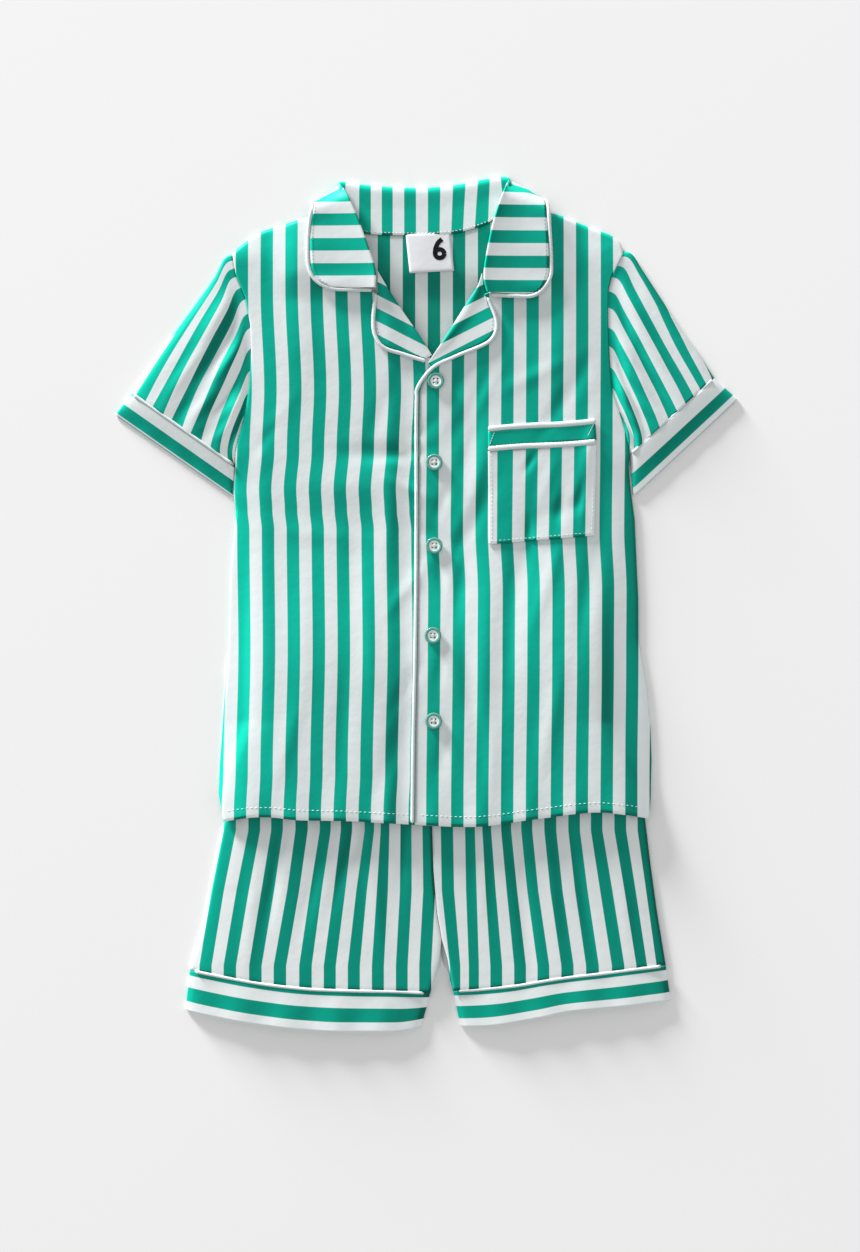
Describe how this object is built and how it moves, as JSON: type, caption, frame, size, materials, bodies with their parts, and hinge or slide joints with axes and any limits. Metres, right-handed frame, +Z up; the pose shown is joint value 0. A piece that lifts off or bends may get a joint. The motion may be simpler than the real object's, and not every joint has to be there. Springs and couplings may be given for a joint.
{
  "type": "pyjama set",
  "caption": "Child's short-sleeved striped satin pyjama shirt with a notched collar and chest pocket, laid flat over matching shorts.",
  "frame": {"origin": "centre of the laid-out set on the surface it lies on", "axes": "+X to the wearer's left, +Y towards the collar, +Z up from the surface"},
  "size_m": [0.4962, 0.6825, 0.0172],
  "materials": {
    "striped_satin": "satin weave in green and off-white stripes 10 mm wide",
    "piping": "off-white satin piping",
    "button": "glossy, clear to pearl",
    "label": "matt woven ribbon"
  },
  "bodies": {
    "root": {"back": "striped_satin", "front_right": "striped_satin", "front_left": "striped_satin", "collar": "striped_satin", "collar_piping": "piping", "lapel_right": "striped_satin", "lapel_left": "striped_satin", "front_piping_right": "piping", "front_piping_left": "piping", "sleeve_right": "striped_satin", "cuff_right": "striped_satin", "cuff_piping_right": "piping", "sleeve_left": "striped_satin", "cuff_left": "striped_satin", "cuff_piping_left": "piping", "pocket": "striped_satin", "pocket_band": "striped_satin", "pocket_piping_top": "piping", "pocket_piping_low": "piping", "button_1": "button", "button_2": "button", "button_3": "button", "button_4": "button", "button_5": "button", "label": "label", "shorts_front_right": "striped_satin", "shorts_back_right": "striped_satin", "shorts_front_left": "striped_satin", "shorts_back_left": "striped_satin", "shorts_cuff_right": "striped_satin", "shorts_cuff_piping_right": "piping", "shorts_cuff_left": "striped_satin", "shorts_cuff_piping_left": "piping", "waistband": "striped_satin"}
  },
  "joints": []
}
